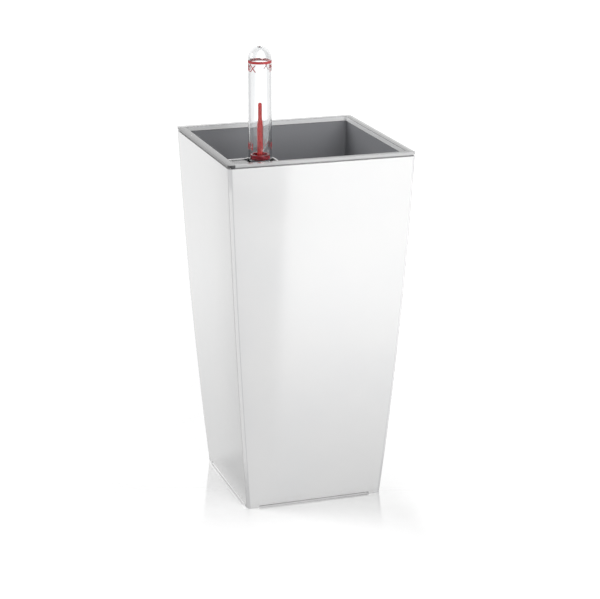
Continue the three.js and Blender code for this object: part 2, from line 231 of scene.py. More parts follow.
def swept_square(name, section, radius=CORNER_RADIUS, closed=False):
    """A rounded square drawn out through a section of (inset, height) points along the wall."""
    inset, z = section[0]
    bpy.ops.object.select_all(action="DESELECT")
    bpy.ops.mesh.primitive_plane_add(size=2 * (wall_half(z) - inset), location=(0, 0, z))
    piece = edit_new(name)
    bpy.ops.mesh.bevel(offset=radius, segments=CORNER_SEGMENTS, affect="VERTICES")
    bpy.ops.mesh.delete(type="ONLY_FACE")
    bpy.ops.mesh.select_mode(type="EDGE")
    bpy.ops.mesh.select_all(action="SELECT")
    for (inset, z), (next_inset, next_z) in pairwise(section):
        bpy.ops.mesh.extrude_edges_move(TRANSFORM_OT_translate={"value": (0, 0, next_z - z)})
        ratio = (wall_half(next_z) - next_inset) / (wall_half(z) - inset)
        bpy.ops.transform.resize(value=(ratio, ratio, 1), center_override=(0, 0, next_z))
    if closed:
        bpy.ops.mesh.select_non_manifold(extend=False)
        bpy.ops.mesh.bridge_edge_loops()
    else:
        bpy.ops.mesh.select_all(action="SELECT")
        bpy.ops.mesh.fill_holes(sides=0)
    bpy.ops.mesh.select_all(action="SELECT")
    bpy.ops.mesh.normals_make_consistent(inside=False)
    return piece


def turned(name, profile, steps=64):
    """A profile of (radius, height) points, spun round the indicator's axis."""
    radius, z = profile[0]
    bpy.ops.object.select_all(action="DESELECT")
    bpy.ops.mesh.primitive_plane_add(size=MM, location=(AXIS.x + radius, AXIS.y, z))
    piece = edit_new(name)
    bpy.ops.mesh.merge(type="CENTER")
    for (radius, z), (next_radius, next_z) in pairwise(profile):
        step = (next_radius - radius, 0, next_z - z)
        bpy.ops.mesh.extrude_vertices_move(TRANSFORM_OT_translate={"value": step})
    bpy.ops.mesh.select_all(action="SELECT")
    bpy.ops.mesh.spin(steps=steps, angle=math.tau, center=(AXIS.x, AXIS.y, 0), axis=(0, 0, 1))
    bpy.ops.mesh.select_all(action="SELECT")
    bpy.ops.mesh.remove_doubles(threshold=SAME_POINT)
    bpy.ops.mesh.normals_make_consistent(inside=False)
    close_edit()
    return piece


def arc(radius, rise, base, start, end, count):
    """(radius, height) points on a quarter of an ellipse, angles in degrees from the horizontal."""
    turns = [math.radians(start + (end - start) * step / count) for step in range(count + 1)]
    return [(radius * math.cos(turn), base + rise * math.sin(turn)) for turn in turns]


def block(low, high):
    """A box to cut or join with."""
    size = [b - a for a, b in zip(low, high)]
    centre = [(a + b) / 2 for a, b in zip(low, high)]
    bpy.ops.object.select_all(action="DESELECT")
    bpy.ops.mesh.primitive_cube_add(size=1, location=centre, scale=size)
    piece = edit_new("tool")
    close_edit()
    return piece


def post(x, y, radius, bottom, top, sides=64):
    """A round bar to cut or join with."""
    middle = (x, y, (bottom + top) / 2)
    bpy.ops.object.select_all(action="DESELECT")
    depth = top - bottom
    bpy.ops.mesh.primitive_cylinder_add(vertices=sides, radius=radius, depth=depth, location=middle)
    piece = edit_new("tool")
    close_edit()
    return piece


def joined(pieces):
    """Several tools as one mesh."""
    bpy.ops.object.select_all(action="DESELECT")
    for piece in pieces:
        piece.select_set(True)
    bpy.context.view_layer.objects.active = pieces[0]
    bpy.ops.object.join()
    return bpy.context.object


def only(piece):
    """Selects one piece and makes it the active one."""
    bpy.ops.object.select_all(action="DESELECT")
    piece.select_set(True)
    bpy.context.view_layer.objects.active = piece


def modify(piece, kind, **settings):
    """Adds a modifier and applies it."""
    only(piece)
    modifier = piece.modifiers.new(kind.lower(), kind)
    for name, value in settings.items():
        setattr(modifier, name, value)
    bpy.ops.object.modifier_apply(modifier=modifier.name)


def cut(piece, *tools):
    """Takes the tools away from a piece, and uses them up."""
    for tool in tools:
        modify(piece, "BOOLEAN", operation="DIFFERENCE", solver="EXACT", object=tool)
        bpy.data.objects.remove(tool)


def add(piece, *tools):
    """Joins the tools to a piece, and uses them up."""
    for tool in tools:
        modify(piece, "BOOLEAN", operation="UNION", solver="EXACT", object=tool)
        bpy.data.objects.remove(tool)


def merge_slivers(piece):
    """Closes up the hair-thin faces that cutting leaves behind."""
    only(piece)
    bpy.ops.object.mode_set(mode="EDIT")
    bpy.ops.mesh.select_all(action="SELECT")
    bpy.ops.mesh.remove_doubles(threshold=SLIVER)
    bpy.ops.mesh.dissolve_degenerate(threshold=SLIVER)
    close_edit()


def soften(piece, width):
    """Rounds the sharp edges and gives flat faces flat shading right up to the rounds."""
    modify(
        piece,
        "BEVEL",
        width=width,
        segments=BEVEL_SEGMENTS,
        limit_method="ANGLE",
        angle_limit=SHARP_EDGE,
        miter_outer="MITER_ARC",
    )
    smooth(piece)


def smooth(piece, sharpness=40):
    """Smooth shading, with a crease wherever faces meet at more than the given angle in degrees."""
    only(piece)
    bpy.ops.object.shade_smooth_by_angle(angle=math.radians(sharpness))
    modify(piece, "WEIGHTED_NORMAL", keep_sharp=True)


def fit(piece, body, finish, slot, *nodes):
    """Gives a piece its finish, hangs it on its CAD body and lets it stand for its CAD nodes."""
    piece.data.materials.clear()
    piece.data.materials.append(finish)
    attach(piece, body)
    if nodes:
        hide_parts(*nodes)
    return piece


# ---------------------------------------------------------------- finishes


class Signal:
    """A shader socket that takes part in arithmetic: each operation adds its Math node."""

    def __init__(self, finish, socket):
        self.finish = finish
        self.socket = socket

    def math(self, operation, *values):
        """One operation on the values, which are numbers or signals."""
        return self.finish.add("ShaderNodeMath", {"operation": operation}, dict(enumerate(values)))

    def __add__(self, other):
        return self.math("ADD", self, other)

    __radd__ = __add__

    def __sub__(self, other):
        return self.math("SUBTRACT", self, other)

    def __rsub__(self, other):
        return self.math("SUBTRACT", other, self)

    def __mul__(self, other):
        return self.math("MULTIPLY", self, other)

    __rmul__ = __mul__

    def __truediv__(self, other):
        return self.math("DIVIDE", self, other)

    def __abs__(self):
        return self.math("ABSOLUTE", self)

    def at_least(self, other):
        """The larger of the two."""
        return self.math("MAXIMUM", self, other)


class Finish:
    """A material, built node by node on the piece's own coordinates."""

    def __init__(self, name):
        self.material = bpy.data.materials.new(name)
        self.material.use_nodes = True
        self.tree = self.material.node_tree
        self.tree.nodes.clear()
        self.place = self.add("ShaderNodeTexCoord", {}, {}, "Object")

    def add(self, kind, settings, inputs, output=0):
        """Adds a node, its inputs given as values or signals, and returns one of its outputs."""
        node = self.tree.nodes.new(kind)
        for name, value in settings.items():
            setattr(node, name, value)
        for name, value in inputs.items():
            if isinstance(value, Signal):
                self.tree.links.new(value.socket, node.inputs[name])
            else:
                node.inputs[name].default_value = value
        return Signal(self, node.outputs[output]) if node.outputs else None

    def stretched(self, x, y, z):
        """The piece's coordinates, scaled along each axis."""
        return self.add("ShaderNodeMapping", {}, {"Vector": self.place, "Scale": (x, y, z)})

    def shifted(self, x, y):
        """The piece's coordinates, moved along X and Y and flattened onto the floor."""
        inputs = {"Vector": self.place, "Location": (x, y, 0), "Scale": (1, 1, 0)}
        return self.add("ShaderNodeMapping", {}, inputs)

    def vector_math(self, operation, output, *values):
        """One operation on vectors, and its output by name."""
        inputs = dict(enumerate(values))
        return self.add("ShaderNodeVectorMath", {"operation": operation}, inputs, output)

    def noise(self, size, detail=2, place=None):
        """Cloudy noise from 0 to 1, with features of about the given size in metres."""
        inputs = {"Vector": place or self.place, "Scale": 1 / size, "Detail": detail}
        return self.add("ShaderNodeTexNoise", {}, inputs)

    def cells(self, size, feature="F1"):
        """Distances in a pattern of cells of about the given size in metres."""
        inputs = {"Vector": self.place, "Scale": 1 / size}
        return self.add("ShaderNodeTexVoronoi", {"feature": feature}, inputs, "Distance")

    def step(self, value, low, high):
        """0 below low, 1 above high, with a smooth rise between them."""
        inputs = {"Value": value, "From Min": low, "From Max": high}
        return self.add("ShaderNodeMapRange", {"interpolation_type": "SMOOTHSTEP"}, inputs)

    def fall(self, value, low, high):
        """1 below low, 0 above high, with a smooth drop between them."""
        return 1 - self.step(value, low, high)

    def along(self, axis):
        """One coordinate on the piece, in metres."""
        return self.add("ShaderNodeSeparateXYZ", {}, {"Vector": self.place}, axis)

    def spread(self, choice):
        """The MAXIMUM or MINIMUM of the distances from the middle along X and along Y."""
        x, y = (abs(self.along(axis)) for axis in "XY")
        return x.math(choice, x, y)

    def blend(self, factor, first, second):
        """A colour between two."""
        inputs = {0: factor, 6: first, 7: second}
        return self.add("ShaderNodeMix", {"data_type": "RGBA"}, inputs, 2)

    def bump(self, height, depth):
        """Surface relief, with its depth in metres."""
        inputs = {"Height": height, "Distance": depth, "Strength": 1.0}
        return self.add("ShaderNodeBump", {}, inputs)

    def plastic(self, **inputs):
        """The main shader, with its sockets named with underscores for spaces."""
        named = {name.replace("_", " "): value for name, value in inputs.items()}
        return self.add("ShaderNodeBsdfPrincipled", {}, named)

    def done(self, shader):
        """Joins the shader to the output and gives the finished material."""
        self.add("ShaderNodeOutputMaterial", {}, {"Surface": shader})
        return self.material


def grey(value):
    """An opaque neutral grey."""
    return (value, value, value, 1)


def gloss_lacquer():
    """White lacquered plastic: hard clear gloss over a faintly wavy white, dulled at the feet, with
    painted shade and a painted highlight on the corner rounds.
    """
    f = Finish("gloss_white_lacquer")
    waves = f.noise(9 * MM, 1) * 0.7 + f.noise(1.6 * MM, 2) * 0.3
    cloud = f.step(f.noise(60 * MM, 3), 0.3, 0.7)
    specks = f.step(f.noise(0.9 * MM, 2), 0.66, 0.8)
    height = f.along("Z")
    scuffs = f.fall(height, 1 * MM, 7 * MM) * f.step(f.noise(3 * MM, 5), 0.48, 0.62)
    # How far a point lies round the corner, past the end of the flat face
    turn = f.spread("MINIMUM") - wall_half(height) + CORNER_RADIUS
    # Painted light on the corner rounds: painted shade darkens each round, and a painted highlight
    # lightens its middle from low down to a little below the top
    middle = f.step(turn, 0.35 * MM, 0.6 * MM) * f.step(height, 15 * MM, 45 * MM)
    lit = middle * f.fall(height, HEIGHT - 22 * MM, HEIGHT - 12 * MM)
    white = f.blend(cloud, (0.845, 0.848, 0.852, 1), (0.87, 0.87, 0.868, 1))
    painted_corner_shade = f.blend(f.step(turn, -0.25 * MM, 0), white, (0.74, 0.742, 0.75, 1))
    # The colour: scuffs near the feet, over the white with its painted corner shade and painted
    # highlight
    scuffed_and_painted_light = f.blend(scuffs * 0.3, f.blend(lit, painted_corner_shade, (0.95, 0.95, 0.95, 1)), (0.6, 0.59, 0.57, 1))
    return f.done(
        f.plastic(
            Base_Color=scuffed_and_painted_light,
            Roughness=0.16 + cloud * 0.04 + specks * 0.05 + scuffs * 0.3,
            IOR=1.5,
            Coat_Weight=1 - scuffs * 0.6,
            Coat_Roughness=0.03,
            Coat_IOR=1.5,
            Normal=f.bump(waves, 0.02 * MM),
        )
    )


def frosted_grey():
    """Translucent grey plastic of the rim frame, with painted light and shade on its top, its outer
    recess and its ledge.
    """
    f = Finish("frosted_grey_plastic")
    cloud = f.noise(40 * MM, 2)
    grain = f.noise(3 * MM, 2)
    height = f.along("Z")
    flat = f.step(height, HEIGHT - 0.35 * MM, HEIGHT - 0.15 * MM)
    # Painted shade: everything lower than just above the ledge top is coloured near black
    sunk_painted_shade = f.fall(height, LEDGE_TOP + 0.4 * MM, LEDGE_TOP + 0.7 * MM)
    groove_top = HEIGHT - PLATE_THICKNESS + GROOVE_HEIGHT
    under = f.fall(height, groove_top - 0.02 * MM, groove_top + 0.05 * MM)
    reach = f.spread("MAXIMUM")
    # Painted shadow: the recess under the rim's outer edge is coloured dark grey, darkest on the left
    groove_painted_shadow = under * f.step(reach, TOP_HALF - 1.8 * MM, TOP_HALF - 1.2 * MM)
    outward = f.step(reach, TOP_HALF - RIM_WIDTH, TOP_HALF)
    side = f.step(reach, TOP_HALF - 1.2 * MM, TOP_HALF - 0.8 * MM)
    left = f.fall(f.along("X"), 4.6 * MM - TOP_HALF, 5.4 * MM - TOP_HALF)
    front = f.fall(f.along("Y"), 4.6 * MM - TOP_HALF, 5.4 * MM - TOP_HALF)
    back = f.step(f.along("Y"), TOP_HALF - 5.6 * MM, TOP_HALF - 4.8 * MM)
    pale = (0.90, 0.902, 0.905, 1)
    shade = (0.06, 0.061, 0.063, 1)
    colour = f.blend(cloud, pale, (0.94, 0.942, 0.945, 1))
    # The top's greys are painted light and shade: they run from the inner edge to the outer edge, and
    # differ from side to side
    top = f.blend(outward * outward, (0.17, 0.172, 0.175, 1), (0.92, 0.922, 0.926, 1))
    top = f.blend(front, top, f.blend(outward, (0.08, 0.081, 0.083, 1), (0.54, 0.542, 0.546, 1)))
    top = f.blend(left, top, f.blend(outward, (0.25, 0.252, 0.256, 1), shade))
    top = f.blend(back, top, pale)
    colour = f.blend(flat.at_least(side), colour, top)
    colour = f.blend(sunk_painted_shade, colour, shade)
    colour = f.blend(groove_painted_shadow, colour, f.blend(left, (0.24, 0.24, 0.244, 1), (0.06, 0.06, 0.062, 1)))
    return f.done(
        f.plastic(
            Base_Color=colour,
            Roughness=0.12 + cloud * 0.05,
            IOR=1.49,
            Coat_Weight=0.5,
            Coat_Roughness=0.04,
            Normal=f.bump(grain, 0.01 * MM),
        )
    )


def moulded_dark():
    """Satin dark-grey moulding with a fine sparked grain and faint flow clouds."""
    f = Finish("satin_dark_grey")
    flow = f.noise(30 * MM, 3, f.stretched(1, 1, 0.35))
    grain = f.noise(0.35 * MM, 3)
    pits = f.cells(0.6 * MM)
    colour = f.blend(flow, (0.222, 0.226, 0.241, 1), (0.255, 0.259, 0.275, 1))
    return f.done(
        f.plastic(
            Base_Color=colour,
            Roughness=0.4 + flow * 0.1 + grain * 0.1,
            IOR=1.5,
            Normal=f.bump(grain * 0.7 + pits * 0.3, 0.03 * MM),
        )
    )


def clear_tube():
    """Clear moulded tube, a little hazy, with faint draw lines down its length."""
    f = Finish("clear_plastic")
    lines = f.noise(6 * MM, 1, f.stretched(1, 1, 0.1))
    haze = f.noise(8 * MM, 3)
    return f.done(
        f.plastic(
            Base_Color=f.blend(haze, (0.93, 0.94, 0.945, 1), (0.98, 0.985, 0.99, 1)),
            Roughness=0.01 + haze * 0.03,
            IOR=1.46,
            Transmission_Weight=1.0,
            Normal=f.bump(lines, 0.003 * MM),
        )
    )


def red_plastic(name, dark, light, gloss):
    """Coloured moulding with slight streaks of denser pigment."""
    f = Finish(name)
    streaks = f.noise(2.5 * MM, 3, f.stretched(1, 1, 0.2))
    grain = f.noise(0.3 * MM, 2)
    return f.done(
        f.plastic(
            Base_Color=f.blend(streaks, dark, light),
            Roughness=gloss + streaks * 0.08,
            IOR=1.49,
            Normal=f.bump(grain, 0.01 * MM),
        )
    )


def pale_plastic():
    """Pale-grey moulding of the guide bush and the foot cap: matt with fine grain."""
    f = Finish("pale_grey_plastic")
    flow = f.noise(18 * MM, 3, f.stretched(1, 1, 0.3))
    grain = f.noise(0.3 * MM, 3)
    return f.done(
        f.plastic(
            Base_Color=f.blend(flow, (0.36, 0.365, 0.37, 1), (0.43, 0.435, 0.44, 1)),
            Roughness=0.35 + flow * 0.12,
            IOR=1.49,
            Normal=f.bump(grain, 0.02 * MM),
        )
    )


def bead_foam():
    """White bead foam: pressed round cells with darker seams between them."""
    f = Finish("bead_foam")
    seams = f.step(f.cells(2.2 * MM, "DISTANCE_TO_EDGE"), 0.0, 0.16)
    pores = f.noise(0.4 * MM, 4)
    shade = f.blend(seams, (0.62, 0.62, 0.6, 1), (0.84, 0.84, 0.825, 1))
    return f.done(
        f.plastic(
            Base_Color=f.blend(pores * 0.25, shade, (0.9, 0.9, 0.89, 1)),
            Roughness=0.85 - seams * 0.1,
            IOR=1.4,
            Normal=f.bump(seams * 0.8 + pores * 0.2, 0.12 * MM),
        )
    )


def needled_felt():
    """Off-white needled felt: tangled fibres, darker hollows and a soft sheen."""
    f = Finish("needled_felt")
    along = f.noise(0.5 * MM, 4, f.stretched(0.35, 1, 1))
    across = f.noise(0.45 * MM, 4, f.stretched(1, 1, 0.3))
    fibres = (along + across) * 0.5
    tufts = f.noise(3 * MM, 3)
    tone = f.blend(f.step(fibres, 0.38, 0.62), (0.42, 0.40, 0.35, 1), (0.72, 0.70, 0.645, 1))
    return f.done(
        f.plastic(
            Base_Color=f.blend(tufts * 0.35, tone, (0.78, 0.765, 0.72, 1)),
            Roughness=0.92 + fibres * 0.06,
            IOR=1.4,
            Sheen_Weight=0.35,
            Sheen_Roughness=0.5,
            Normal=f.bump(fibres * 0.7 + tufts * 0.3, 0.35 * MM),
        )
    )


# ---------------------------------------------------------------- pieces


def make_shell(finish):
    """The outer planter: one tapered skin turned in at the top, on four corner feet."""
    outside = [(0, z) for z in levels(BASE_RECESS, SHELL_TOP)]
    inside = [(SHELL_WALL, z) for z in levels(SHELL_TOP, FLOOR_TOP)]
    shell = swept_square("planter_shell", outside + inside)
    notch = FOOT_HALF - FOOT_LENGTH

    def underneath(face):
        """True for the faces of the underside."""
        return max(vert.co.z for vert in face.verts) < BASE_RECESS + LEVEL

    def at_corner(face):
        """True for the parts of the underside that become feet."""
        middle = face.calc_center_median()
        return underneath(face) and min(abs(middle.x), abs(middle.y)) > notch

    pick("FACE", underneath)
    for place, normal in product((-notch, notch), (Vector((1, 0, 0)), Vector((0, 1, 0)))):
        bpy.ops.mesh.bisect(plane_co=normal * place, plane_no=normal)
        pick("FACE", underneath)
    pick("FACE", at_corner)
    bpy.ops.mesh.extrude_region_move(TRANSFORM_OT_translate={"value": (0, 0, -BASE_RECESS)})
    close_edit()
    soften(shell, 0.35 * MM)
    return fit(shell, "planter", finish, "gloss_white", "outer_planter")


def ledge_plate(margin, bottom, top):
    """The corner ledge's outline, set in by a margin: a strip along two walls with a round boss."""
    far = TOP_HALF
    boss = DUCT_BORE + LEDGE_RING_WIDTH - margin
    plate = block((-far, -far, bottom), (AXIS.x, AXIS.y + LEDGE_BEYOND_AXIS - margin, top))
    add(plate, block((AXIS.x - MM, -far, bottom), (AXIS.x + boss, AXIS.y, top)))
    add(plate, post(AXIS.x, AXIS.y, boss, bottom, top))
    return plate


def catch_blocks(outer, inner, clearance):
    """Blocks at each side's two catches, grown by a clearance, between two distances out."""
    z = HEIGHT - CATCH_BELOW_RIM
    half = CATCH_WIDTH / 2 + clearance
    rise = CATCH_HEIGHT / 2 + clearance
    blocks = []
    for along, side in product((-CATCH_SPACING / 2, CATCH_SPACING / 2), (-1, 1)):
        near, far = sorted((side * inner, side * outer))
        blocks.append(block((along - half, near, z - rise), (along + half, far, z + rise)))
        blocks.append(block((near, along - half, z - rise), (far, along + half, z + rise)))
    return joined(blocks)


def make_rim_frame(finish):
    """The rim frame: a flat rim with an inner lip, a locating skirt and the corner ledge."""
    plate_under = HEIGHT - PLATE_THICKNESS
    groove_top = plate_under + GROOVE_HEIGHT
    section = [(GROOVE_DEPTH, plate_under), (GROOVE_DEPTH, groove_top), (0, groove_top), (0, HEIGHT)]
    section += [(RIM_WIDTH, HEIGHT), (RIM_WIDTH, HEIGHT - LIP_DEPTH)]
    section += [(SKIRT_INSET + SKIRT_WALL, HEIGHT - LIP_DEPTH), (SKIRT_INSET + SKIRT_WALL, RIM_LOW.z)]
    section += [(SKIRT_INSET, RIM_LOW.z), (SKIRT_INSET, plate_under)]
    rim = swept_square("rim_frame", section, closed=True)
    close_edit()
    window = wall_half(HEIGHT - CATCH_BELOW_RIM) - SKIRT_INSET
    cut(rim, catch_blocks(window + MM, window - SKIRT_WALL - MM, LINER_FIT))

    ledge = ledge_plate(0, LEDGE_UNDER, LEDGE_TOP)
    border = ledge_plate(0, LEDGE_TOP - 0.5 * MM, LEDGE_TOP + LEDGE_BORDER_HEIGHT)
    cut(border, ledge_plate(LEDGE_BORDER_WIDTH, LEDGE_TOP - MM, LEDGE_TOP + MM))
    add(ledge, border)
    cut(ledge, post(AXIS.x, AXIS.y, DUCT_BORE, LEDGE_UNDER - MM, LEDGE_TOP + 2 * MM))
    edge = wall_half(LEDGE_TOP) - SKIRT_INSET - SKIRT_WALL / 2
    room = block((-edge, -edge, LEDGE_UNDER - MM), (edge, edge, HEIGHT - MM))
    modify(ledge, "BOOLEAN", operation="INTERSECT", solver="EXACT", object=room)
    bpy.data.objects.remove(room)
    add(rim, ledge)
    soften(rim, 0.3 * MM)
    return fit(rim, "liner", finish, "clear_grey", "liner_frame")


def drain_holes():
    """Round holes on a square grid, away from the wicks and the indicator's duct."""
    wick_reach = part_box("wick_left")[1].y + 2 * DRAIN_RADIUS
    duct_reach = DUCT_BORE + LINER_WALL + 2 * DRAIN_RADIUS
    holes = []
    for column, row in product(range(-DRAIN_ROWS, DRAIN_ROWS + 1), repeat=2):
        spot = Vector((column * DRAIN_PITCH, row * DRAIN_PITCH))
        if abs(spot.y) > wick_reach and (spot - AXIS).length > duct_reach:
            low = LINER_UNDER - MM
            holes.append(post(spot.x, spot.y, DRAIN_RADIUS, low, LINER_FLOOR_TOP + MM, sides=20))
    return joined(holes)


def wick_slots():
    """Two slots for each wick, one for each of its legs."""
    slots = []
    for node, side in product(("wick_left", "wick_right"), (-1, 1)):
        low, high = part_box(node)
        near, far = sorted((side * (high.y + LINER_FIT), side * (high.y - WICK_THICKNESS - LINER_FIT)))
        start = (low.x - LINER_FIT, near, LINER_UNDER - MM)
        slots.append(block(start, (high.x + LINER_FIT, far, LINER_FLOOR_TOP + MM)))
    return joined(slots)


def water_slots(reach):
    """Two crossing cutters for the slots that let water through the well and the shaft."""
    half = WATER_SLOT_WIDTH / 2
    low = LINER_LOW.z + WATER_SLOT_MARGIN
    high = LINER_UNDER - WATER_SLOT_MARGIN
    x, y = AXIS
    return (
        block((x - reach, y - half, low), (x + reach, y + half, high)),
        block((x - half, y - reach, low), (x + half, y + reach, high)),
    )


def corner_rib(height):
    """The rib that ties the duct to the liner's corner."""
    length = 30 * MM
    centre = AXIS - Vector((length, length)) * math.sqrt(0.5) / 2
    bpy.ops.object.select_all(action="DESELECT")
    bpy.ops.mesh.primitive_cube_add(
        size=1,
        location=(centre.x, centre.y, LINER_UNDER + height / 2),
        rotation=(0, 0, math.radians(45)),
        scale=(length, LINER_WALL, height),
    )
    rib = edit_new("tool")
    close_edit()
    return rib


def make_liner(finish):
    """The planting liner: a thin pot with drain holes, wick slots and the indicator's duct and well."""
    top = LINER_HIGH.z
    fillet = 2.5 * MM
    inner = LINER_INSET + LINER_WALL
    outside = [(LINER_INSET, z) for z in levels(LINER_UNDER, top)]
    inside = [(inner, z) for z in levels(top, LINER_FLOOR_TOP + fillet)]
    turns = [math.radians(15 * step) for step in range(1, 7)]
    curve = [
        (inner + fillet * (1 - math.cos(turn)), LINER_FLOOR_TOP + fillet * (1 - math.sin(turn)))
        for turn in turns
    ]
    liner = swept_square("planter_liner_pot", outside + inside + curve, radius=2 * MM)
    close_edit()
    duct_top = LEDGE_UNDER - LINER_FIT
    x, y = AXIS
    add(liner, post(x, y, DUCT_BORE + LINER_WALL, LINER_UNDER, duct_top))
    rib = corner_rib(duct_top - LINER_UNDER)
    skin = swept_square("tool", [(LINER_INSET, z) for z in levels(LINER_UNDER, top)], radius=2 * MM)
    close_edit()
    modify(rib, "BOOLEAN", operation="INTERSECT", solver="EXACT", object=skin)
    bpy.data.objects.remove(skin)
    add(liner, rib)
    add(liner, post(x, y, WELL_BORE + LINER_WALL, LINER_LOW.z, LINER_UNDER + 0.5 * MM))
    cut(liner, post(x, y, DUCT_BORE, LINER_FLOOR_TOP, duct_top + MM))
    cut(liner, post(x, y, WELL_BORE, LINER_LOW.z + WELL_FLOOR, duct_top))
    cut(liner, *water_slots(WELL_BORE + 2 * LINER_WALL))
    cut(liner, wick_slots(), drain_holes())
    catch = wall_half(HEIGHT - CATCH_BELOW_RIM)
    add(liner, catch_blocks(catch - SKIRT_INSET - 0.1 * MM, catch - LINER_INSET - LINER_WALL / 2, 0))
    cut(liner, ledge_plate(-LINER_FIT, duct_top, HEIGHT))
    merge_slivers(liner)
    soften(liner, 0.25 * MM)
    return fit(liner, "liner", finish, "dark_grey", "planter_liner")


def make_wick(node, finish):
    """A felt strip laid over the bar between two slots, with a leg down through each of them."""
    low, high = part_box(node)
    leg = high.y - WICK_THICKNESS / 2
    top = high.z - WICK_THICKNESS / 2
    width = high.x - low.x
    up = [(-leg, z) for z in levels(low.z, top - FELT_BEND, 14)]
    turns = [math.radians(30 * step) for step in range(1, 4)]
    over = [(-leg + FELT_BEND * (1 - math.cos(t)), top - FELT_BEND * (1 - math.sin(t))) for t in turns]
    path = up + over + [(-2 * MM, top)]
    path += [(-y, z) for y, z in reversed(path)]

    bpy.ops.object.select_all(action="DESELECT")
    middle = -leg + width / 2
    bpy.ops.mesh.primitive_plane_add(size=width, location=((low.x + high.x) / 2, middle, low.z))
    wick = edit_new(f"{node}_felt")
    pick("VERT", lambda vert: vert.co.y > middle)
    bpy.ops.mesh.delete(type="VERT")
    bpy.ops.mesh.select_mode(type="EDGE")
    bpy.ops.mesh.select_all(action="SELECT")
    bpy.ops.mesh.subdivide(number_cuts=7)
    bpy.ops.mesh.select_all(action="SELECT")
    for (y, z), (next_y, next_z) in pairwise(path):
        bpy.ops.mesh.extrude_edges_move(TRANSFORM_OT_translate={"value": (0, next_y - y, next_z - z)})
    bpy.ops.mesh.select_all(action="SELECT")
    bpy.ops.mesh.normals_make_consistent(inside=False)
    close_edit()
    modify(wick, "SOLIDIFY", thickness=FELT_THICKNESS, offset=0, use_even_offset=True)
    corner = math.radians(60)
    modify(wick, "BEVEL", width=0.5 * MM, segments=2, limit_method="ANGLE", angle_limit=corner)
    modify(wick, "SUBSURF", levels=2, render_levels=2)
    tufts = bpy.data.textures.new("felt_tufts", "CLOUDS")
    tufts.noise_scale = 1.4 * MM
    modify(wick, "DISPLACE", texture=tufts, texture_coords="GLOBAL", strength=0.22 * MM, mid_level=0.6)
    only(wick)
    bpy.ops.object.shade_smooth()
    fit(wick, "liner", finish, "felt", node)
    return wick


def make_sight_tube(finish):
    """The clear tube: a domed cylinder, open below, with a small pip inside its apex."""
    bore = SIGHT_RADIUS - SIGHT_WALL
    spring = TUBE_HIGH.z - DOME_HEIGHT
    rise = DOME_HEIGHT - SIGHT_WALL
    apex = spring + rise
    edge = 0.3 * MM
    inside = [(0, apex - PIP_LENGTH), (PIP_RADIUS * 0.4, apex - PIP_LENGTH)]
    inside += [(PIP_RADIUS, apex - 0.3 * MM)]
    inside += arc(bore, rise, spring, PIP_ANGLE, 0, 12)
    inside += [(bore, z) for z in levels(spring, TUBE_LOW.z + edge, 8)][1:]
    mouth = [(bore + edge, TUBE_LOW.z), (SIGHT_RADIUS - edge, TUBE_LOW.z)]
    outside = [(SIGHT_RADIUS, z) for z in levels(TUBE_LOW.z + edge, spring, 8)][:-1]
    outside += arc(SIGHT_RADIUS, DOME_HEIGHT, spring, 0, 90, 16)[:-1] + [(0, TUBE_HIGH.z)]
    tube = turned("sight_tube_clear", inside + mouth + outside, steps=96)
    smooth(tube, 50)
    return fit(tube, "indicator", finish, "clear", "sight_tube")


def make_level_ring(finish):
    """The red ring on top of the shaft that marks the lowest level."""
    outer = (RING_HIGH.x - RING_LOW.x) / 2
    inner = outer - 1.8 * MM
    edge = 0.4 * MM
    low, high = RING_LOW.z, RING_HIGH.z
    profile = [(inner, low), (outer - edge, low)]
    profile += [(outer - 0.1 * MM, low + 0.1 * MM), (outer, low + edge)]
    profile += [(outer, high - edge), (outer - 0.12 * MM, high - 0.12 * MM), (outer - edge, high)]
    profile += [(inner + edge, high), (inner + 0.12 * MM, high - 0.12 * MM), (inner, high - edge)]
    profile += [(inner, low)]
    ring = turned("level_ring", profile)
    smooth(ring)
    return fit(ring, "indicator", finish, "red", "min_ring")


def make_shaft(finish):
    """The shaft that carries the sight tube, slotted below so that water reaches the float."""
    radius = (RING_HIGH.x - RING_LOW.x) / 2
    bore = radius - MM
    flange = (SHAFT_HIGH.x - SHAFT_LOW.x) / 2
    flange_top = TUBE_LOW.z - 0.3 * MM
    flange_bottom = flange_top - 1.5 * MM
    low, high = SHAFT_LOW.z, SHAFT_HIGH.z
    outside = [(radius, low), (radius, flange_bottom), (flange, flange_bottom), (flange, flange_top)]
    outside += [(radius, flange_top), (radius, high), (bore, high), (bore, low)]
    shaft = turned("indicator_shaft_tube", [(bore, low)] + outside)
    cut(shaft, *water_slots(radius + MM))
    soften(shaft, 0.2 * MM)
    return fit(shaft, "indicator", finish, "dark_grey", "indicator_shaft")


def make_guide(finish):
    """The bush that keeps the rod upright."""
    outer = (GUIDE_HIGH.x - GUIDE_LOW.x) / 2
    inner = (ROD_HIGH.x - ROD_LOW.x) / 2 + ROD_PLAY
    low, high = GUIDE_LOW.z, GUIDE_HIGH.z
    lead = 0.6 * MM
    profile = [(inner, low), (outer, low), (outer, high), (inner + lead, high), (inner, high - lead)]
    guide = turned("rod_guide_bush", profile + [(inner, low)])
    soften(guide, 0.15 * MM)
    return fit(guide, "indicator", finish, "pale_grey", "rod_guide")


def make_foot_cap(finish):
    """The cap that closes the bottom of the shaft."""
    cap = (FOOT_HIGH.x - FOOT_LOW.x) / 2
    plug = cap - 1.3 * MM
    shoulder = FOOT_LOW.z + 1.6 * MM
    low, high = FOOT_LOW.z, FOOT_HIGH.z
    profile = [(0, low), (cap - 0.5 * MM, low), (cap, low + 0.5 * MM), (cap, shoulder)]
    profile += [(plug, shoulder), (plug, high), (0, high)]
    foot = turned("indicator_foot_cap", profile)
    soften(foot, 0.2 * MM)
    return fit(foot, "indicator", finish, "pale_grey", "indicator_foot")


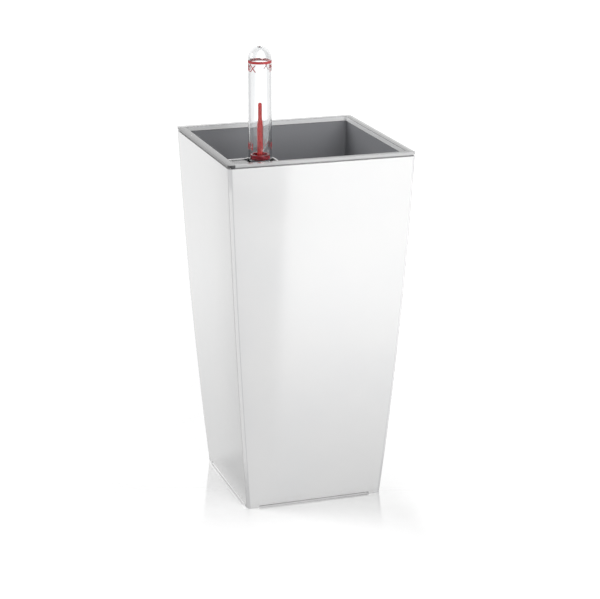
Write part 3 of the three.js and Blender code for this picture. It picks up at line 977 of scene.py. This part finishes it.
def make_float(finish):
    """The foam float, with a bore for the rod."""
    radius = (FLOAT_HIGH.x - FLOAT_LOW.x) / 2
    low, high = FLOAT_LOW.z, FLOAT_HIGH.z
    bore = (ROD_HIGH.x - ROD_LOW.x) / 2 + ROD_PLAY
    edge = 1.2 * MM
    bottom = ROD_LOW.z - ROD_PLAY
    outside = [(0, low), (radius - edge, low)]
    outside += [(radius - 0.35 * MM, low + 0.35 * MM), (radius, low + edge)]
    outside += [(radius, z) for z in levels(low + edge, high - edge, 24)][1:]
    outside += [(radius - 0.35 * MM, high - 0.35 * MM), (radius - edge, high), (bore, high)]
    body = turned("float_foam", outside + [(bore, bottom), (0, bottom)], steps=48)
    beads = bpy.data.textures.new("foam_beads", "VORONOI")
    beads.noise_scale = 1.8 * MM
    modify(body, "DISPLACE", texture=beads, texture_coords="GLOBAL", strength=-0.2 * MM, mid_level=0.1)
    smooth(body, 60)
    return fit(body, "float", finish, "foam", "float_body")


def make_rod(finish):
    """The red rod that shows the water level in the tube, narrower at its tip."""
    radius = (ROD_HIGH.x - ROD_LOW.x) / 2
    tip = ROD_TIP_RADIUS
    taper_top = ROD_HIGH.z - ROD_TIP_LENGTH
    edge = 0.2 * MM
    stem = [(0, ROD_LOW.z), (radius - edge, ROD_LOW.z), (radius, ROD_LOW.z + edge)]
    stem += [(radius, z) for z in levels(ROD_LOW.z + edge, taper_top - ROD_TAPER, 10)][1:]
    point = [(tip, taper_top)] + arc(tip, tip, ROD_HIGH.z - tip, 0, 90, 8)
    rod = turned("float_rod_red", stem + point, steps=40)
    smooth(rod)
    return fit(rod, "float", finish, "red", "float_rod")


def make_band(finish):
    """The printed line round the tube at the highest level."""
    level = TUBE_HIGH.z - MAX_MARK_BELOW_TOP
    skin = SIGHT_RADIUS + BAND_RELIEF
    half = BAND_HEIGHT / 2
    under = SIGHT_RADIUS - BAND_RELIEF
    profile = [(under, level - half), (skin, level - half), (skin, level + half), (under, level + half)]
    band = turned("max_line", profile + [profile[0]], steps=96)
    smooth(band)
    return fit(band, "indicator", finish, "red")


def make_word(text, turn, middle, finish):
    """A word wrapped round the tube; the turn is its bearing from the front, in degrees."""
    bpy.ops.object.select_all(action="DESELECT")
    bpy.ops.object.text_add()
    word = bpy.context.object
    word.data.body = text
    word.data.size = WORD_HEIGHT / CAPITAL_SHARE
    word.data.align_x = "CENTER"
    word.data.align_y = "CENTER"
    word.rotation_euler = (math.radians(90), 0, 0)
    bpy.ops.object.convert(target="MESH")
    edit_new(f"{text.lower()}_word_{turn % 360:03d}")
    bpy.ops.mesh.remove_doubles(threshold=SAME_LETTER_POINT)
    bpy.ops.mesh.normals_make_consistent(inside=False)
    reach = max(abs(vert.co.x) for vert in bmesh.from_edit_mesh(word.data).verts)
    for x in levels(-reach, reach, 20)[1:-1]:
        bpy.ops.mesh.select_all(action="SELECT")
        bpy.ops.mesh.bisect(plane_co=(x, 0, 0), plane_no=(1, 0, 0))
    close_edit()
    word = bpy.context.object
    skin = SIGHT_RADIUS + WORD_THICKNESS / 2
    modify(word, "SIMPLE_DEFORM", deform_method="BEND", deform_axis="Z", angle=2 * reach / skin)
    modify(word, "SOLIDIFY", thickness=WORD_THICKNESS, offset=0)
    bpy.ops.object.mode_set(mode="EDIT")
    bpy.ops.mesh.select_all(action="SELECT")
    bpy.ops.mesh.normals_make_consistent(inside=False)
    bpy.ops.transform.translate(value=(0, -skin, 0))
    close_edit()
    word.location = (AXIS.x, AXIS.y, middle)
    word.rotation_euler = (0, 0, math.radians(turn))
    bpy.ops.object.transform_apply(location=True, rotation=True, scale=True)
    return fit(word, "indicator", finish, "red")


lacquer = gloss_lacquer()
frosted = frosted_grey()
dark = moulded_dark()
felt = needled_felt()
clear = clear_tube()
pale = pale_plastic()
foam = bead_foam()
rod_red = red_plastic("rod_red_plastic", (0.44, 0.010, 0.010, 1), (0.49, 0.015, 0.013, 1), 0.3)
ring_red = red_plastic("ring_red_plastic", (0.26, 0.012, 0.022, 1), (0.34, 0.020, 0.032, 1), 0.22)
print_red = red_plastic("print_red_ink", (0.40, 0.026, 0.030, 1), (0.50, 0.040, 0.042, 1), 0.4)

make_shell(lacquer)
make_rim_frame(frosted)
make_liner(dark)
for wick_node in ("wick_left", "wick_right"):
    make_wick(wick_node, felt)
make_sight_tube(clear)
make_level_ring(ring_red)
make_shaft(dark)
make_guide(pale)
make_foot_cap(pale)
make_float(foam)
make_rod(rod_red)
make_band(print_red)
for bearing in MAX_WORD_TURNS:
    make_word("MAX", bearing, TUBE_HIGH.z - MAX_MARK_BELOW_TOP - MAX_WORD_BELOW_LINE, print_red)
for bearing in MIN_WORD_TURNS:
    make_word("MIN", bearing, RING_HIGH.z + MIN_WORD_ABOVE_RING, print_red)


# ---------------------------------------------------------------- studio


def floor_sheen(f, x, y, away, across):
    """How bright the gloss finds the floor, as painted reflections: an even tone, darker stretches and
    a bright card.
    """
    even = SHEEN + f.step(away, 60 * MM, 600 * MM) * SHEEN_FAR_GAIN

    # A painted glow like a bright card in front and to the right, which the front face mirrors up to
    # its near corner
    card_edge = (x + 26 * MM) * VIEW_Y + (y + 52 * MM) * VIEW_X
    card = f.step(card_edge, -14 * MM, 3 * MM) * f.fall(y, -80 * MM, 0)
    card = card * f.step(away, 30 * MM, 500 * MM)

    # A dark sector out from the near left corner, which that corner mirrors as a thin line
    bearing = f.vector_math("NORMALIZE", "Vector", f.shifted(50 * MM, 50 * MM))
    sector_middle = (-0.949, -0.317, 0)
    aligned = f.vector_math("DOT_PRODUCT", "Value", bearing, sector_middle)
    sector = f.step(aligned, 0.03, 0.1) * f.fall(aligned, 0.6, 0.8)

    # A dark lane towards the viewer, which the tube and the rod mirror
    lane = f.step(away, 620 * MM, 750 * MM) * f.fall(abs(across), 350 * MM, 500 * MM)
    lane = lane * f.fall(y, -600 * MM, -450 * MM)

    # Darker close to the foot of the left face, most of all at its near end
    leftward = f.fall(x, -62 * MM, -50 * MM) * f.fall(aligned, 0, 0.06)
    contact = leftward * f.fall(y, 30 * MM, 60 * MM)
    near_end = leftward * f.fall(y + (x + 60 * MM) * 3.4, -90 * MM, 70 * MM)

    sheen = (even - contact * CONTACT_LOSS) * (1 - near_end * NEAR_END_LOSS)
    return sheen * (1 - sector * SECTOR_LOSS) * (1 - lane * LANE_LOSS) + card * CARD_GLOW


def lay_floor():
    """A wide white table with a faint mirror that fades out in front of the planter."""
    bpy.ops.object.select_all(action="DESELECT")
    bpy.ops.mesh.primitive_plane_add(size=FLOOR_SIZE)
    floor = bpy.context.object
    floor.name = "studio_floor"
    f = Finish("white_table")
    rays = ("Is Camera Ray", "Is Glossy Ray", "Is Transmission Ray")
    camera, glossy, through = (f.add("ShaderNodeLightPath", {}, {}, ray) for ray in rays)
    seen = camera.at_least(through)
    mirrored = glossy * (1 - through)

    # Places on the floor: out from the middle, to the right of the tube, and towards the viewer
    x, y = f.along("X"), f.along("Y")
    reach = f.spread("MAXIMUM")
    away = f.vector_math("LENGTH", "Value", f.place)
    across = (x - AXIS.x) * VIEW_Y - (y - AXIS.y) * VIEW_X
    nearer = x * -VIEW_X - y * VIEW_Y

    # Rays bent far aside by the tube's wall find a darker floor, which draws the tube's edges
    aside = through * f.step(abs(across), 50 * MM, 150 * MM) * f.step(y, -100 * MM, 0)
    aside = aside * (TUBE_EDGE_LOSS + f.step(across, 0, 20 * MM) * TUBE_RIGHT_EDGE_LOSS)

    # Dark under the planter, but for a strip that shows through the gap under its left side
    under_left = f.fall(x, 3 * MM - FOOT_HALF, 4 * MM - FOOT_HALF)
    lit = f.step(reach, FOOT_HALF - 3 * MM, FOOT_HALF - MM)
    lit = lit.at_least(under_left)
    gap = under_left * f.step(y, -FOOT_HALF, 2 * MM - FOOT_HALF)
    gap = gap * f.fall(y, FOOT_HALF - 2 * MM, FOOT_HALF)
    gap = gap * f.step(x, -FOOT_HALF - 8 * MM, -FOOT_HALF - 4 * MM)

    # The white backdrop: brighter far away and to the right, less so just in front
    near = f.step(nearer, -20 * MM, 30 * MM) * f.fall(away, 150 * MM, 350 * MM)
    near = near * f.fall(x, 50 * MM, 80 * MM)
    open_floor = BACKDROP + f.step(away, 300 * MM, 1600 * MM) * BACKDROP_FAR_GAIN
    open_floor = open_floor + f.step(x, 60 * MM, 120 * MM) * BACKDROP_RIGHT_GAIN
    open_floor = open_floor - near * BACKDROP_NEAR_LOSS
    gap_start = f.step(x, -FOOT_HALF - 0.5 * MM, 0.3 * MM - FOOT_HALF)
    open_floor = open_floor + gap * gap_start * GAP_GAIN
    backdrop = open_floor * (1 - aside) * lit

    unseen = f.blend(mirrored, grey(0.45), grey(0.25))
    tone = f.blend(seen, unseen, f.blend(aside, grey(0.9), grey(0.3)))
    matt = f.add("ShaderNodeBsdfDiffuse", {}, {"Color": tone})
    strength = seen * backdrop + mirrored * floor_sheen(f, x, y, away, across)
    glow = f.add("ShaderNodeEmission", {}, {"Color": grey(1), "Strength": strength})
    white = f.add("ShaderNodeAddShader", {}, {0: matt, 1: glow})

    # The mirror: only round the planter, weaker along the gap, and gone a hand's width in front
    fade = f.fall(nearer, 0, 120 * MM) * f.fall(away, 100 * MM, 300 * MM) * camera
    fade = fade * f.step(reach, FOOT_HALF - 0.6 * MM, FOOT_HALF)
    beside_gap = gap * f.step(x, -FOOT_HALF - 2.6 * MM, -FOOT_HALF - 2 * MM)
    share = fade * (1 - beside_gap * MIRROR_GAP_LOSS) * MIRROR_SHARE
    gloss = {"Color": grey(1), "Roughness": MIRROR_ROUGHNESS}
    mirror = f.add("ShaderNodeBsdfGlossy", {}, gloss)
    mixed = f.add("ShaderNodeMixShader", {}, {0: share, 1: white, 2: mirror})
    floor.data.materials.append(f.done(mixed))


def light_world():
    """Soft even light from all round, and plain white wherever the backdrop is seen."""
    world = bpy.data.worlds.new("studio")
    bpy.context.scene.world = world
    world.use_nodes = True
    tree = world.node_tree
    back = tree.nodes["Background"]
    path = tree.nodes.new("ShaderNodeLightPath")
    seen = path.outputs["Is Camera Ray"]
    for ray in ("Is Glossy Ray", "Is Transmission Ray"):
        either = tree.nodes.new("ShaderNodeMath")
        either.operation = "MAXIMUM"
        tree.links.new(seen, either.inputs[0])
        tree.links.new(path.outputs[ray], either.inputs[1])
        seen = either.outputs[0]
    strength = tree.nodes.new("ShaderNodeMapRange")
    strength.inputs["To Min"].default_value = ROOM_LIGHT
    strength.inputs["To Max"].default_value = BACKDROP_LIGHT
    tree.links.new(seen, strength.inputs["Value"])
    back.inputs["Color"].default_value = grey(1)
    tree.links.new(strength.outputs[0], back.inputs["Strength"])


def hang_softbox(name, place, width, height, power):
    """A rectangular lamp that faces the planter; sizes in metres, power in watts."""
    lamp = bpy.data.lights.new(name, "AREA")
    lamp.shape = "RECTANGLE"
    lamp.size = width
    lamp.size_y = height
    lamp.energy = power
    box = bpy.data.objects.new(name, lamp)
    bpy.context.scene.collection.objects.link(box)
    box.location = place
    facing = Vector(LAMP_AIM) - Vector(place)
    box.rotation_euler = facing.to_track_quat("-Z", "Y").to_euler()


def set_camera():
    """The viewpoint: a long lens, a little above the rim, looking down on the near corner."""
    level = math.cos(CAMERA_PITCH)
    drop = math.sin(CAMERA_PITCH)
    ahead = Vector((math.sin(CAMERA_YAW) * level, math.cos(CAMERA_YAW) * level, -drop))
    right = Vector((math.cos(CAMERA_YAW), -math.sin(CAMERA_YAW), 0))
    down = ahead.cross(right)
    across = right * math.cos(CAMERA_ROLL) + down * math.sin(CAMERA_ROLL)
    below = down * math.cos(CAMERA_ROLL) - right * math.sin(CAMERA_ROLL)
    lens = bpy.data.cameras.new("camera")
    lens.sensor_width = SENSOR_WIDTH
    lens.lens = FOCAL_LENGTH
    camera = bpy.data.objects.new("camera", lens)
    bpy.context.scene.collection.objects.link(camera)
    turn = Matrix((across, -below, -ahead)).transposed().to_4x4()
    camera.matrix_world = Matrix.Translation(CAMERA_PLACE) @ turn
    bpy.context.scene.camera = camera


lay_floor()
light_world()
hang_softbox("front_softbox", (0.12, -0.94, 0.52), width=0.5, height=0.4, power=5.1)
hang_softbox("left_softbox", (-0.86, 0.36, 0.54), width=0.4, height=0.4, power=4.5)
set_camera()
bpy.context.scene.view_settings.view_transform = "Standard"
